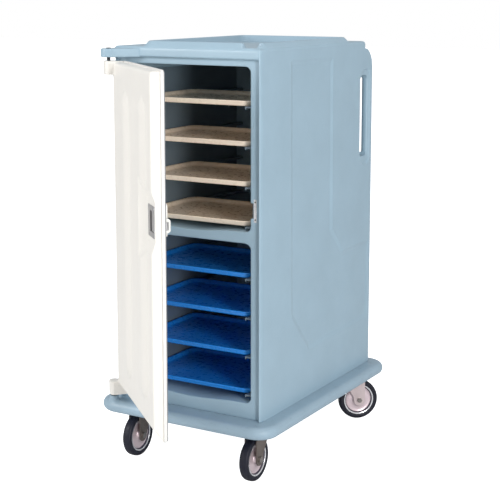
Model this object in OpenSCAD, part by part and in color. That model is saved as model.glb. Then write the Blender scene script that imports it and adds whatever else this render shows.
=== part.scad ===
// Enclosed meal tray cart: a moulded two-compartment cabinet on a bumper base
// with four swivel casters, a side-hinged door with a recessed paddle latch and
// two racks of tray runners. Millimetres, +Z up, the door side faces -Y.

/* [Cabinet] */
// Width of the cabinet, side face to side face
body_w = 572; // [560:1:600]
// Depth of the cabinet, front lip to rear face
body_d = 846; // [840:1:900]
// Height of the cabinet from its seam on the base to its upper edge
body_h = 1230; // [1210:1:1300]
// Radius of the cabinet's outer edges
edge_r = 10; // [6:1:14]
// How far the rounding of the front upright edges runs back along the sides
front_round = 26; // [16:1:30]
// Depth of the recess round the front opening that the door lies in
door_recess = 17; // [14:1:20]
// Height of the lip band above that recess
lip_h = 35; // [30:1:45]
// Width of the lip each side of that recess
lip_w = 8; // [6:1:10]
// Width of the tray compartments
comp_w = 478; // [474:1:482]
// Depth of the tray compartments behind the door recess
comp_d = 710; // [700:1:714]
// Height of the two compartments together with their divider
comp_h = 1118; // [1110:1:1124]
// Thickness of the floor under the lower compartment
floor_t = 54; // [48:1:60]
// Radius of the compartments' corners, seen from the front
comp_r = 20; // [14:1:22]
// Thickness of the moulded skin
skin = 6; // [5:0.5:7]
// Depth of the recessed panel in each side
relief = 4; // [2:0.5:4.5]

/* [Divider] */
// Thickness of the divider between the compartments
divider_t = 40; // [34:1:44]
// Height of the divider's underside above the compartment floor
divider_at = 540; // [536:1:546]
// How far the divider's top is dished in the middle
dish = 10; // [4:1:12]

/* [Top gallery] */
// Height of the raised rim above the cabinet's upper edge
rim_h = 18; // [12:1:24]
// Width of the rim's outer slope
rim_slope = 13; // [8:1:16]
// Width of the rim's flat top
rim_flat = 8; // [6:1:14]
// Depth of the gallery's deck below the cabinet's upper edge
deck_drop = 6; // [2:1:8]
// Length of the gallery across the front
rim_w = 468; // [440:1:500]
// Depth of the gallery from front to back
rim_d = 666; // [640:1:690]
// Width of the clearing notch in the front rim
notch_w = 48; // [40:1:60]

/* [Rear handles] */
// Height of the grip's open slot
grip_h = 300; // [240:1:320]
// Width of the grip's open slot, front to back
grip_gap = 70; // [64:1:74]
// Thickness of the grip bar, side to side
grip_t = 32; // [28:1:36]
// Depth of the grip bar, front to back
grip_bar = 40; // [38:1:44]
// Width of the hand pocket behind the grip bar
grip_pocket = 108; // [90:1:112]

/* [Base] */
// Thickness of the bumper slab
base_t = 44; // [40:1:50]
// How far the bumper stands out at the front and the sides
bumper_out = 62; // [56:1:70]
// How far the bumper stands out at the rear
bumper_rear = 50; // [44:1:60]
// Radius of the bumper's corners, seen from above
bumper_r = 75; // [65:1:90]
// Depth of the bolt heads' recesses in the underside
bolt_seat = 18; // [14:1:24]

/* [Door] */
// How far the door stands open, in degrees
door_open = 42; // [30:1:60]
// Thickness of the door
door_t = 42; // [40:1:44]
// Thickness of the door's inner panel
panel_t = 10; // [9:1:11]
// Thickness of the door's outer skin
door_skin = 4; // [3:0.5:5]
// Height of the sloped lower edge of the door's face
door_bevel = 45; // [35:1:50]
// Gap between the door and the lip at its free edge
door_gap = 3; // [2:0.5:4]
// Gap between the door and the lip above it
door_gap_top = 14; // [12:1:16]
// Gap between the door and the base
door_gap_base = 27; // [26:1:30]
// Width of the two raised flutes on the door's face
flute_w = 108; // [80:1:112]
// Height of the flutes above the door's face
flute_h = 12; // [8:0.5:12]
// Thickness of the door seal
seal_t = 3.6; // [3:0.1:3.7]
// Width of the door seal
seal_w = 6; // [5:0.5:6]

/* [Hinge] */
// Distance from the hinge axis to the door's outer face
hinge_out = 11; // [9:0.5:12]
// Distance from the cabinet's front face to the hinge axis
hinge_front = 40; // [38:0.5:42]
// Distance from the hinge axis to the cabinet's centre plane, less half its width
hinge_in = 7; // [6:0.5:8]
// Radius of the hinge pins
pin_r = 6; // [5:0.5:7]
// Radial running clearance of pins and axles
fit = 0.06; // [0.03:0.01:0.1]
// Height of the moulded hinge blocks on the door
hinge_block_h = 46; // [40:1:50]
// Thickness of the ear that holds the upper pin
ear_t = 29; // [24:1:32]
// Radius of the ear round the upper pin
ear_r = 26; // [22:1:28]

/* [Latch] */
// Height of the latch plate
latch_h = 99; // [94:1:104]
// Width of the latch plate
latch_w = 82; // [80:1:82]
// Depth of the scooped pocket that the latch plate lies in
scoop = 12; // [10:0.5:12]
// Height of the latch's centre above the base
latch_at = 720; // [700:1:730]
// Length of the paddle's inner arm, pivot to tip
paddle_arm = 21; // [20:0.5:21]
// Swing of the paddle when it is pulled, in degrees
paddle_swing = 25; // [10:1:25]

/* [Trays] */
// Width of a meal tray
tray_w = 457; // [450:1:458]
// Depth of a meal tray
tray_d = 356; // [330:1:356]
// Height of a meal tray
tray_h = 18; // [12:1:20]
// Pitch of the tray levels
tray_pitch = 132; // [126:1:132]
// Tray levels in each compartment
levels = 4; // [1:1:4]
// Distance from the cabinet's front face to the trays
tray_inset = 40; // [39:1:44]

/* [Runners] */
// Thickness of the runner racks' plates
rack_t = 4; // [3:0.5:5]
// Width of the runner ledges
ledge_w = 29; // [26:1:30]
// Thickness of the runner ledges
ledge_t = 5; // [4:0.5:6]
// Height of the lowest ledge above the divider
first_upper = 12; // [10:1:14]
// Height of the lowest ledge above the floor
first_lower = 22; // [20:1:24]

/* [Casters] */
// Diameter of the wheels
wheel_dia = 152; // [146:1:152]
// Width of the tyres
tyre_w = 32; // [28:1:34]
// Thickness of the tyres
tyre_t = 18; // [12:1:20]
// Height of the caster from the floor to the top of its plate
caster_h = 174; // [174:1:180]
// Distance from the swivel axis to the axle
trail = 36; // [32:1:38]
// Distance from the cabinet's side to the swivel axis
caster_side = 48; // [46:1:60]
// Distance from the cabinet's front or rear to the swivel axis
caster_end = 77; // [70:1:100]
// Radius of the axles and kingpins
axle_r = 6; // [5:0.5:7]

/* [Hidden] */
$fn = 64;
arc_n = 6;
hull_fn = 32;

half_w = body_w / 2;
body_z = caster_h + base_t;
body_top = body_z + body_h;
rim_top = body_top + rim_h;
recess_top = body_top - lip_h;
recess_half = half_w - lip_w;
comp_half = comp_w / 2;
comp_z = body_z + floor_t;
comp_top = comp_z + comp_h;
comp_y = door_recess + comp_d;
divider_z = comp_z + divider_at;
divider_top = divider_z + divider_t;
divider_front = door_recess;
divider_lip = 18;
dish_half = comp_half - 2 * comp_r;

// Door, measured from the hinge axis: a runs along the door, b into the cabinet
hinge_x = -(half_w - hinge_in);
hinge_y = -hinge_front;
door_a0 = -recess_half + lip_w - hinge_x;
door_a1 = recess_half - door_gap - hinge_x;
door_b0 = hinge_out;
door_b1 = hinge_out + door_t;
panel_b = door_b1 - panel_t;
shell_b = door_b0 + door_skin;
door_z0 = body_z + door_gap_base;
door_z1 = recess_top - door_gap_top;
shell_inset = 3;
shell_a0 = door_a0 + shell_inset;
shell_a1 = door_a1 - shell_inset;
shell_z0 = door_z0 + 2;
shell_z1 = door_z1 - 4;
shell_r = 8;
face_z1 = door_z1 - 8;

// The row's origin lies under the middle of the whole cart with its door open
door_tip_y = hinge_y - (shell_a1 - shell_r) * sin(door_open)
    + (door_b0 + shell_r) * cos(door_open) - shell_r;
panel_tip_y = hinge_y - door_a1 * sin(door_open) + panel_b * cos(door_open);
front_y = -(min(door_tip_y, panel_tip_y) + body_d + bumper_rear) / 2;

// Rear handles
grip_y = body_d - grip_bar - grip_gap;
grip_z = body_top - 276;
grip_end_r = grip_gap / 4;
grip_round = 14;
ledge_y = body_d - 70;
ledge_z = body_top - 27;
shoulder_z = body_top - 128;

// Relief of the side panels
relief_steps = 4;
relief_run = 12;
relief_y0 = body_d * 0.241;
relief_y1 = body_d * 0.402;
relief_y2 = body_d * 0.605;
relief_y3 = body_d * 0.719;
relief_y4 = body_d - 22;
relief_z0 = body_z + body_h * 0.1374;
relief_z1 = body_z + body_h * 0.2528;
relief_z2 = body_z + body_h * 0.3862;
relief_z3 = body_z + body_h * 0.4634;
relief_z4 = body_top - 48;

// Foam cavity of the cabinet
foam_x0 = comp_half + skin + 1;
foam_x1 = half_w - relief - skin;
foam_y0 = door_recess + 35;
foam_floor_half = 200;
foam_floor_y = 60;
foam_rear_y = comp_y + skin;
foam_rear_end = body_d - skin;
foam_rear_half = half_w - grip_t - grip_pocket - 8;
foam_top_end = ledge_y - 10;
foam_low_top = grip_z - grip_h / 2 - 62;

// Hinge
ear_z = body_top - 8 - ear_t;
boss_r = 16;
boss_h = 18;
washer_r = 12;
bush_r = pin_r + 3;
block_r = pin_r + 11.5;
door_lift = 0.3;
pin_in = 38;
pin_end_gap = 2;
pin_head_r = 8;
pin_head_t = 2.5;
pin_root = 28;

// Latch
latch_z = body_z + latch_at;
latch_a1 = shell_a1 - 5;
latch_a0 = latch_a1 - latch_w;
plate_t = 1.5;
scoop_b = door_b0 + scoop;
scoop_half = latch_h / 2 + 46;
scoop_run = 34;
scoop_side = 22;
paddle_a = latch_a1 - 11;
paddle_b = scoop_b + 4;
cup_wall = 1.5;
knuckle_r = 4;
knuckle_gap = 0.5;
cup_a0 = paddle_a - 47;
cup_a1 = paddle_a + knuckle_r + knuckle_gap + cup_wall;
cup_half = latch_h / 2 - 16;
cup_b = paddle_b + 11.5;
latch_pin_r = 2;
arm_w = 3;
arm_h = 7;
arm_tip_r = 3;
arm_z = latch_z - 14;
paddle_len = 29;
spring_half = 5.5;
spring_r = 2.9;
knuckle_len = 24;
bolt_half = 12.5;
bolt_b0 = door_b1 + 7;
bolt_t = 10;
bolt_reach = 2;
bolt_len = 34;
bolt_a1 = paddle_a + bolt_reach;
tail_half = 6.5;
tail_out = paddle_b + paddle_arm - 4.5;
tip_slot = arm_tip_r + 0.3;
bolt_slide = 0.3;
bolt_travel = 9;
housing_a1 = bolt_a1 - bolt_travel;
housing_a0 = housing_a1 - 50;
housing_half = 51;
housing_rib = 22;
housing_t = 23;
housing_low = 17;
flange_a1 = comp_half - hinge_x - 5;
flange_mid = (housing_a0 + flange_a1) / 2;
passage_half = tail_half + 3;
neck_a1 = housing_a1 + 1;
neck_a0 = neck_a1 - 9;
passage_a0 = neck_a0 - bolt_travel - 1;
passage_a1 = shell_a1 - 5.5;

// Strike
strike_t = 2;
strike_x0 = hinge_x + housing_a1 + 2;
strike_x1 = strike_x0 + 11;
strike_half = 38;
strike_mid = (strike_x0 + strike_x1) / 2;
pocket_half = housing_rib + 3;
pocket_d = housing_t + 5;
bolt_slot_half = bolt_half + 4;
bolt_slot_x = hinge_x + bolt_a1 + 2;

// Racks
rack_y0 = tray_inset - 2;
rack_y1 = comp_y - 5;
rack_x = comp_half - rack_t;
rack_screw_y = [rack_y0 + 60, rack_y1 - 60];
screw_r = 2.5;
screw_head_r = 5;
screw_head_t = 2;
screw_grip = 5;
upper_levels = [for (i = [0:levels - 1]) divider_top + first_upper + i * tray_pitch];
lower_levels = [for (i = [0:levels - 1]) comp_z + first_lower + i * tray_pitch];

// Casters
wheel_r = wheel_dia / 2;
fork_inner = tyre_w / 2 + 4;
fork_t = 4;
crown_t = 5.5;
crown_z = wheel_r * 2 + 2.5;
crown_r = 32;
plate_z = caster_h - 4;
plate_half = 48;
race_r = 26;
caster_hole = 35;
caster_bolt_r = 4;
fork_end_r = 22;
caster_spots = [
    [half_w - caster_side, caster_end, -90],
    [-(half_w - caster_side), caster_end, -89],
    [half_w - caster_side, body_d - caster_end, 43],
    [-(half_w - caster_side), body_d - caster_end, 20]
];
base_bolt_r = 4;
base_bolt_x = 226;
base_bolt_y = [caster_end + plate_half + 44, body_d / 2,
    comp_y - 50];
base_bolt_len = 50;

blue = [0.62, 0.72, 0.79];
cream = [0.93, 0.92, 0.88];
steel = [0.72, 0.72, 0.74];
zinc = [0.52, 0.50, 0.48];
foam_yellow = [0.93, 0.86, 0.66];
black = [0.08, 0.08, 0.10];
hub_grey = [0.78, 0.74, 0.76];
rail_grey = [0.80, 0.82, 0.82];
slide_gap = 0.2;
tray_cream = [0.95, 0.82, 0.68];
tray_blue = [0.16, 0.45, 0.78];

// ---- Outlines -------------------------------------------------------------

// Points of an arc from angle a0 to a1
function arc(cx, cy, r, a0, a1, n = arc_n) =
    [for (i = [0:n]) [cx + r * cos(a0 + (a1 - a0) * i / n),
                      cy + r * sin(a0 + (a1 - a0) * i / n)]];

// Outline of a rectangle with rounded corners
function round_rect(x0, y0, x1, y1, r) = concat(
    arc(x1 - r, y1 - r, r, 0, 90), arc(x0 + r, y1 - r, r, 90, 180),
    arc(x0 + r, y0 + r, r, 180, 270), arc(x1 - r, y0 + r, r, 270, 360));

module box(x0, y0, z0, x1, y1, z1) {
    translate([x0, y0, z0]) cube([x1 - x0, y1 - y0, z1 - z0]);
}

// A plate standing in the XZ plane, from y0 to y1
module along_y(y0, y1) {
    translate([0, y1, 0]) rotate([90, 0, 0]) linear_extrude(y1 - y0) children();
}

// A plate standing in the YZ plane, from x0 to x1
module along_x(x0, x1) {
    translate([x0, 0, 0]) rotate([90, 0, 90]) linear_extrude(x1 - x0) children();
}

module along_z(z0, z1) {
    translate([0, 0, z0]) linear_extrude(z1 - z0) children();
}

module rod_z(x, y, z0, z1, r) { translate([x, y, z0]) cylinder(r = r, h = z1 - z0); }

module rod_x(y, z, x0, x1, r) {
    translate([x0, y, z]) rotate([0, 90, 0]) cylinder(r = r, h = x1 - x0);
}

module rod_y(x, z, y0, y1, r) {
    translate([x, y0, z]) rotate([-90, 0, 0]) cylinder(r = r, h = y1 - y0);
}

module mirror_pair() {
    children();
    mirror([1, 0, 0]) children();
}

// Everything is drawn from the cabinet's front face and set in place here
module at_front() { translate([0, front_y, 0]) children(); }

module at_door() {
    translate([hinge_x, hinge_y + front_y, 0]) rotate([0, 0, -door_open]) children();
}

module at_caster(i) {
    spot = caster_spots[i];
    translate([spot[0], spot[1] + front_y, 0]) rotate([0, 0, spot[2]]) children();
}

module on_axle() { translate([trail, 0, wheel_r]) rotate([90, 0, 0]) children(); }

// ---- Cabinet --------------------------------------------------------------

// The cabinet's outer form: three prisms round its edges
module cabinet_form() {
    r = edge_r;
    intersection() {
        along_z(body_z, body_top)
            polygon(concat(arc(half_w - r, body_d - r, r, 0, 90),
                arc(-half_w + r, body_d - r, r, 90, 180),
                front_corner(-1), reversed(front_corner(1))));
        along_y(0, body_d) polygon(concat(
            arc(half_w - r, body_top - r, r, 0, 90),
            arc(-half_w + r, body_top - r, r, 90, 180),
            [[-half_w, body_z], [half_w, body_z]]));
        along_x(-half_w, half_w) polygon(concat(
            [[body_d, body_z]],
            [for (i = [0:arc_n + 2]) let (t = 90 * i / (arc_n + 2))
                [ledge_y + 8 + (body_d - ledge_y - 8) * cos(t),
                 shoulder_z + (ledge_z - shoulder_z) * sin(t)]],
            [[ledge_y, ledge_z]],
            arc(ledge_y - r, body_top - r, r, 0, 90),
            arc(r, body_top - r, r, 90, 180),
            [[0, body_z]]));
    }
}

// The rounding of a front upright edge, from the side to the front
function front_corner(side) = let (w = lip_w - 1, n = arc_n + 2)
    [for (i = [0:n]) [side * (half_w - w + w * cos(90 * i / n)),
                      front_round * (1 - sin(90 * i / n))]];

function reversed(list) = [for (i = [1:len(list)]) list[len(list) - i]];

// The gallery round the top: a sloped rim with a sunken deck
module rim_loop(inset, z) {
    x1 = half_w - 2 - inset;
    along_z(z, z + 0.01)
        polygon(round_rect(x1 - rim_w + 2 * inset, 4 + inset, x1, 4 + rim_d - inset, 40 - inset / 2));
}

module gallery_form() {
    hull() {
        rim_loop(0, body_top - 1);
        rim_loop(0, body_top);
        rim_loop(rim_slope, rim_top - 2);
        rim_loop(rim_slope + 2, rim_top - 0.01);
    }
}

module gallery_well() {
    well = rim_slope + rim_flat + 2;
    hull() {
        rim_loop(well, rim_top + 0.1);
        rim_loop(well, rim_top - 0.01);
        rim_loop(well + 9, body_top - deck_drop);
    }
}

module gallery_notch() {
    x = half_w - 22 - notch_w / 2;
    along_y(-1, 4 + rim_slope + rim_flat + 16) polygon([
        [x - notch_w / 2, body_top + 2], [x + notch_w / 2, body_top + 2],
        [x + notch_w / 2 + 9, rim_top + 1], [x - notch_w / 2 - 9, rim_top + 1]]);
}

// The ear that carries the upper hinge pin
module ear() {
    along_z(ear_z, ear_z + ear_t) polygon(concat(
        arc(hinge_x, hinge_y, ear_r, 175, 280, 10),
        [[hinge_x + 25, hinge_y - 21], [hinge_x + 100, 0], [hinge_x + 100, edge_r],
         [-half_w + edge_r, 60], [-half_w, 54]]));
}

// The recessed panel in the side, which leaves the handle's corner proud
module side_relief() {
    c = 8;
    edge = [
        [relief_y0 + 10, relief_z1], [relief_y1, relief_z0],
        [relief_y4 - c, relief_z0 + 11], [relief_y4, relief_z0 + 21],
        [relief_y4, relief_z2 + 5], [relief_y3, relief_z2],
        [relief_y2 + 6, relief_z3], [relief_y2, relief_z4 - c], [relief_y2 - c, relief_z4],
        [relief_y0 + c, relief_z4 + 2], [relief_y0, relief_z4 - 6]];
    // the edge comes down in small steps
    for (i = [1:relief_steps])
        along_x(half_w - relief * i / relief_steps, half_w + 1)
            polygon(inset(edge, relief_run * (i - 1) / (relief_steps - 1)));
}

// The outline moved inwards by d; its points run anticlockwise
function inset(list, d) = let (n = len(list))
    [for (i = [0:n - 1]) let (
        p = list[i],
        u = (p - list[(i + n - 1) % n]) / norm(p - list[(i + n - 1) % n]),
        v = (list[(i + 1) % n] - p) / norm(list[(i + 1) % n] - p),
        a = [-u[1], u[0]], b = [-v[1], v[0]])
        p + d * (a + b) / (1 + a * b)];

module grip_cut() {
    z0 = grip_z - grip_h / 2;
    z1 = grip_z + grip_h / 2;
    x1 = half_w - grip_t;
    // pocket behind the bar, open to the rear
    along_y(grip_y, body_d + 1)
        polygon(round_rect(x1 - grip_pocket, z0, x1, z1, 16));
    // slot through the side
    along_x(x1 - 1, half_w + 1)
        polygon(round_rect(grip_y, z0, grip_y + grip_gap, z1, grip_end_r));
    // shallow scoop round the slot
    along_x(half_w - 5, half_w + 1)
        polygon(round_rect(grip_y + 12, z0 - 30, grip_y + grip_gap + 14, z1 + 22, 27));
    // the bar's rounded edges
    along_z(z0, z1) {
        round_off(half_w, grip_y + grip_gap, -1, 1, grip_round + 2);
        round_off(x1, grip_y + grip_gap, 1, 1, grip_round);
        round_off(x1, body_d, 1, -1, grip_round);
    }
}

// What lies outside the rounding of a corner at x, y whose material is on the
// side sx, sy
module round_off(x, y, sx, sy, r) {
    polygon(concat([[x - sx, y - sy], [x - sx, y + sy * r]],
        [for (i = [0:arc_n]) let (t = 90 * i / arc_n)
            [x + sx * r * (1 - cos(t)), y + sy * r * (1 - sin(t))]],
        [[x + sx * r, y - sy]]));
}

module compartments() {
    along_y(door_recess - 1, comp_y)
        polygon(concat(arc(comp_half - comp_r, comp_top - comp_r, comp_r, 0, 90),
            arc(comp_r - comp_half, comp_top - comp_r, comp_r, 90, 180),
            arc(comp_r - comp_half, comp_z + comp_r, comp_r, 180, 270),
            [for (i = [1:15]) let (x = dish_half * (i / 8 - 1))
                [x, comp_z - dish * (0.5 + 0.5 * cos(180 * x / dish_half))]],
            arc(comp_half - comp_r, comp_z + comp_r, comp_r, 270, 360)));
}

// The space between the skins
module foam_form() {
    mirror_pair() box(foam_x0, foam_y0, body_z, foam_x1, comp_y - 6, comp_top + 6);
    box(-foam_floor_half, foam_floor_y, body_z + skin, foam_floor_half,
        foam_rear_end, comp_z - dish - skin);
    box(-foam_rear_half, foam_rear_y, body_z, foam_rear_half, foam_rear_end, shoulder_z - 10);
    box(-foam_x1, foam_rear_y, body_z, foam_x1, foam_rear_end, foam_low_top);
    box(-foam_x1, foam_y0, comp_top + skin, foam_x1, foam_top_end,
        body_top - deck_drop - skin);
    box(-foam_rear_half, foam_rear_y, shoulder_z - 20, foam_rear_half,
        foam_top_end, comp_top + 12);
}

module rack_screw_holes() {
    for (z = concat(rack_screw_z(upper_levels), rack_screw_z(lower_levels)))
        for (y = rack_screw_y)
            mirror_pair() rod_x(y, z, comp_half - 1, comp_half + screw_grip, screw_r);
}

function rack_screw_z(list) =
    [list[0] + tray_pitch * 0.5, list[0] + tray_pitch * 2.5];

module cabinet_shell() color(blue) at_front() {
    difference() {
        union() {
            cabinet_form();
            gallery_form();
            ear();
        }
        gallery_well();
        gallery_notch();
        box(-recess_half, -1, body_z - 1, recess_half, door_recess, recess_top);
        compartments();
        mirror_pair() {
            side_relief();
            grip_cut();
        }
        foam_form();
        rack_screw_holes();
        // latch pocket and strike seat in the right jamb
        box(comp_half - 1, door_recess - 1, arm_z - pocket_half, strike_x0,
            door_recess + pocket_d, arm_z + pocket_half);
        box(strike_x0 - 1, door_recess + strike_t - 1, arm_z - bolt_slot_half,
            bolt_slot_x, door_recess + pocket_d, arm_z + bolt_slot_half);
        box(strike_x0 - 1, door_recess - 1, arm_z - strike_half, strike_x1,
            door_recess + strike_t, arm_z + strike_half);
        for (s = [-1, 1])
            rod_y(strike_mid, arm_z + s * (strike_half - 9), door_recess,
                door_recess + strike_t + 12, 1.6);
        // upper hinge pin
        rod_z(hinge_x, hinge_y, ear_z - 1, ear_z + ear_t + 1, pin_r);
        base_bolt_shanks();
    }
}

module cabinet_foam() color(foam_yellow) at_front() foam_form();

module divider_shell() color(blue) at_front() difference() {
    union() {
        intersection() {
            along_y(divider_front, comp_y) polygon(concat(
                [[-comp_half, divider_z], [comp_half, divider_z], [comp_half, divider_top]],
                [for (i = [0:16]) let (x = dish_half * (1 - i / 8))
                    [x, divider_top - dish * (0.5 + 0.5 * cos(180 * x / dish_half))]],
                [[-comp_half, divider_top]]));
            along_x(-comp_half, comp_half) polygon(concat(
                arc(divider_front + 6, divider_top - 6, 6, 90, 180),
                arc(divider_front + 6, divider_z + 6, 6, 180, 270),
                [[comp_y, divider_z], [comp_y, divider_top]]));
        }
        mirror_pair() divider_corners();
    }
    divider_space();
}

// The lip's rounded corners against the side of the opening
module divider_corners() {
    r = comp_r;
    x = comp_half - r;
    along_y(divider_front, divider_front + divider_lip) {
        polygon(concat([[comp_half, divider_top - 8], [x, divider_top - 8]],
            arc(x, divider_top + r, r, 270, 360)));
        polygon(concat([[x, divider_z + 8], [comp_half, divider_z + 8]],
            arc(x, divider_z - r, r, 0, 90)));
    }
}

module divider_space() {
    box(-comp_half + skin, divider_front + skin, divider_z + skin,
        comp_half - skin, comp_y, divider_top - dish - skin);
}

module divider_foam() color(foam_yellow) at_front() divider_space();

// ---- Base -----------------------------------------------------------------

module base_bolt_shanks() {
    for (y = base_bolt_y)
        mirror_pair() rod_z(base_bolt_x, y, caster_h + bolt_seat,
            caster_h + bolt_seat + base_bolt_len, base_bolt_r);
}

module bumper_form() {
    nose = base_t / 2;
    x = half_w + bumper_out - bumper_r;
    y0 = -bumper_out + bumper_r;
    y1 = body_d + bumper_rear - bumper_r;
    hull() for (p = [[-x, y0], [x, y0], [-x, y1], [x, y1]])
        translate([p[0], p[1], caster_h + nose])
            rotate_extrude($fn = 48) translate([bumper_r - nose, 0])
                circle(r = nose, $fn = 24);
}

module base_bumper() color(blue) at_front() difference() {
    union() {
        bumper_form();
        rod_z(hinge_x, hinge_y, caster_h + base_t - 8, body_z + boss_h, boss_r);
    }
    base_bolt_shanks();
    for (y = base_bolt_y)
        mirror_pair() rod_z(base_bolt_x, y, caster_h - 1,
            caster_h + bolt_seat, base_bolt_r + 5);
    rod_z(hinge_x, hinge_y, body_z + boss_h - pin_root - 8, body_z + boss_h + 1, pin_r);
    caster_bolt_shanks(caster_h - 1);
}

module base_bolts() color(steel) at_front() {
    base_bolt_shanks();
    for (y = base_bolt_y)
        mirror_pair() rod_z(base_bolt_x, y, caster_h + bolt_seat - 6,
            caster_h + bolt_seat, base_bolt_r + 3.5);
}

// ---- Tray racks and trays ----------------------------------------------------

module rack(list, low, high) color(rail_grey) at_front() difference() {
    union() {
        box(rack_x, rack_y0, low, comp_half, rack_y1, high);
        for (z = list) {
            box(rack_x - ledge_w, rack_y0, z - ledge_t, rack_x + 1, rack_y1, z);
            box(rack_x - ledge_w, rack_y0, z - ledge_t - 4, rack_x - ledge_w + 3,
                rack_y1, z - ledge_t + 1);
        }
    }
    for (z = rack_screw_z(list))
        for (y = rack_screw_y)
            rod_x(y, z, rack_x - 1, comp_half + 1, screw_r);
}

rack_upper_low = divider_top + 0.5;
rack_upper_high = comp_top - comp_r - 6;
rack_lower_low = comp_z + comp_r;
rack_lower_high = divider_z - 6;

module rack_upper_right() rack(upper_levels, rack_upper_low, rack_upper_high);
module rack_lower_right() rack(lower_levels, rack_lower_low, rack_lower_high);
module rack_upper_left() mirror([1, 0, 0]) rack_upper_right();
module rack_lower_left() mirror([1, 0, 0]) rack_lower_right();

module rack_screws() color(steel) at_front() {
    for (z = concat(rack_screw_z(upper_levels), rack_screw_z(lower_levels)))
        for (y = rack_screw_y)
            mirror_pair() {
                rod_x(y, z, rack_x - 0.5, comp_half + screw_grip, screw_r);
                rod_x(y, z, rack_x - screw_head_t, rack_x, screw_head_r);
            }
}

// A low tray with a flared rim
module tray_loop(inset, z) {
    along_z(z, z + 0.01) polygon(round_rect(-tray_w / 2 + inset, tray_inset + inset,
        tray_w / 2 - inset, tray_inset + tray_d - inset, 38 - inset / 2));
}

module tray(level) {
    z = level + slide_gap;
    at_front() difference() {
        hull() {
            tray_loop(4, z);
            tray_loop(0, z + tray_h - 3);
            tray_loop(0, z + tray_h - 0.01);
        }
        hull() {
            tray_loop(16, z + 3.5);
            tray_loop(9, z + tray_h + 0.1);
        }
    }
}

module tray_upper(i) color(tray_cream) tray(upper_levels[i]);
module tray_lower(i) color(tray_blue) tray(lower_levels[i]);

// ---- Strike ---------------------------------------------------------------

module strike_plate() color(steel) at_front() difference() {
    box(strike_x0, door_recess, arm_z - strike_half, strike_x1,
        door_recess + strike_t, arm_z + strike_half);
    for (s = [-1, 1]) strike_screw(s, 1);
}

// One flush-headed screw of the strike, or the hole that it fills
module strike_screw(s, extra) {
    z = arm_z + s * (strike_half - 9);
    rod_y(strike_mid, z, door_recess + 0.5, door_recess + strike_t + 12, 1.6);
    rod_y(strike_mid, z, door_recess - extra, door_recess + 1, 2.8);
}

module strike_screws() color(steel) at_front() {
    for (s = [-1, 1]) strike_screw(s, 0);
}

// ---- Hinge ----------------------------------------------------------------

module hinge_pin_top() color(black) at_front() {
    top = ear_z + ear_t;
    rod_z(hinge_x, hinge_y, door_z1 - pin_in, top + 1, pin_r);
    rod_z(hinge_x, hinge_y, top, top + pin_head_t, pin_head_r);
}

module hinge_pin_bottom() color(black) at_front()
    rod_z(hinge_x, hinge_y, body_z + boss_h - pin_root, door_z0 + pin_in, pin_r);

module hinge_washer() color(black) at_front() difference() {
    rod_z(hinge_x, hinge_y, body_z + boss_h, door_z0 - door_lift, washer_r);
    rod_z(hinge_x, hinge_y, body_z, door_z0 + 1, pin_r);
}

// ---- Door -----------------------------------------------------------------

// The door's raised outer form, less inset on every outer side
module shell_form(inset) {
    z_low = shell_z0 + inset;
    z_high = shell_z1 - inset;
    b0 = door_b0 + inset;
    a0 = shell_a0 + inset;
    a1 = shell_a1 - inset;
    r = shell_r - inset;
    intersection() {
        along_z(z_low, z_high) polygon(concat(
            arc(a0 + r, b0 + r, r, 180, 270), arc(a1 - r, b0 + r, r, 270, 360),
            [[a1, panel_b], [a0, panel_b]]));
        along_x(a0, a1) polygon([
            [b0, door_z0 + door_bevel + inset * 0.4],
            [panel_b, z_low], [panel_b, z_high],
            [b0 + r, z_high], [b0 + r * 0.3, face_z1 - inset + 2],
            [b0, face_z1 - inset - 6]]);
    }
}

function screw_spots() = [for (a = [shell_a0 + 13, shell_a1 - 13])
    for (t = [0.06, 0.35, 0.68, 0.94]) [a, door_z0 + (door_z1 - door_z0) * t]];

module screw_bosses(r, b0, b1) {
    for (p = screw_spots()) rod_y(p[0], p[1], b0, b1, r);
}

// The space in the door that the foam fills
module door_space() {
    difference() {
        shell_form(door_skin);
        screw_bosses(8, shell_b - 1, panel_b + 1);
        box(latch_a0 - scoop_side - 4, shell_b - 1, latch_z - scoop_half - 6, shell_a1 + 1,
            panel_b + 1, latch_z + scoop_half + 6);
    }
}

// One raised flute: a shallow crowned strip with domed ends
module flute(a) {
    half = flute_w / 2;
    r = (half * half + flute_h * flute_h) / (2 * flute_h);
    z0 = door_z0 + 110;
    z1 = door_z1 - 87;
    hull() {
        for (i = [0:5]) {
            x = half * cos(15 * i);
            b = door_b0 - flute_h + r - sqrt(r * r - x * x);
            along_y(b, b + 0.01)
                polygon(round_rect(a - x, z0 + half - x, a + x, z1 - half + x, x - 0.1));
        }
        along_y(door_b0 + 0.9, door_b0 + 1)
            polygon(round_rect(a - half, z0, a + half, z1, half - 0.1));
    }
}

module hinge_block(z) {
    along_z(z, z + hinge_block_h) polygon(concat(
        arc(0, 0, block_r, 270, 180, 8),
        [[-block_r, 8], [shell_a0 - 2, panel_b - 6], [shell_a0 - 2, panel_b],
         [36, panel_b], [36, -8], [28, -block_r]]));
}

// Seats of the two bushes, each open at the block's outer end
module bush_seats(r, extra) {
    rod_z(0, 0, door_z1 - pin_in - pin_end_gap, door_z1 + extra, r);
    rod_z(0, 0, door_z0 - extra, door_z0 + pin_in + pin_end_gap, r);
}

module latch_scoop() {
    // the slopes run on outwards, past the crown of the flute
    k = (scoop + flute_h) / scoop;
    side = scoop_side * k;
    run = scoop_run * k;
    inner = scoop_half - scoop_run;
    hull() {
        box(latch_a0 - 2 - side, door_b0 - flute_h - 1, latch_z - inner - run, shell_a1 + 1,
            door_b0 - flute_h, latch_z + inner + run);
        box(latch_a0 - 2, scoop_b - 1, latch_z - inner, shell_a1 + 1, scoop_b,
            latch_z + inner);
    }
}

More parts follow.
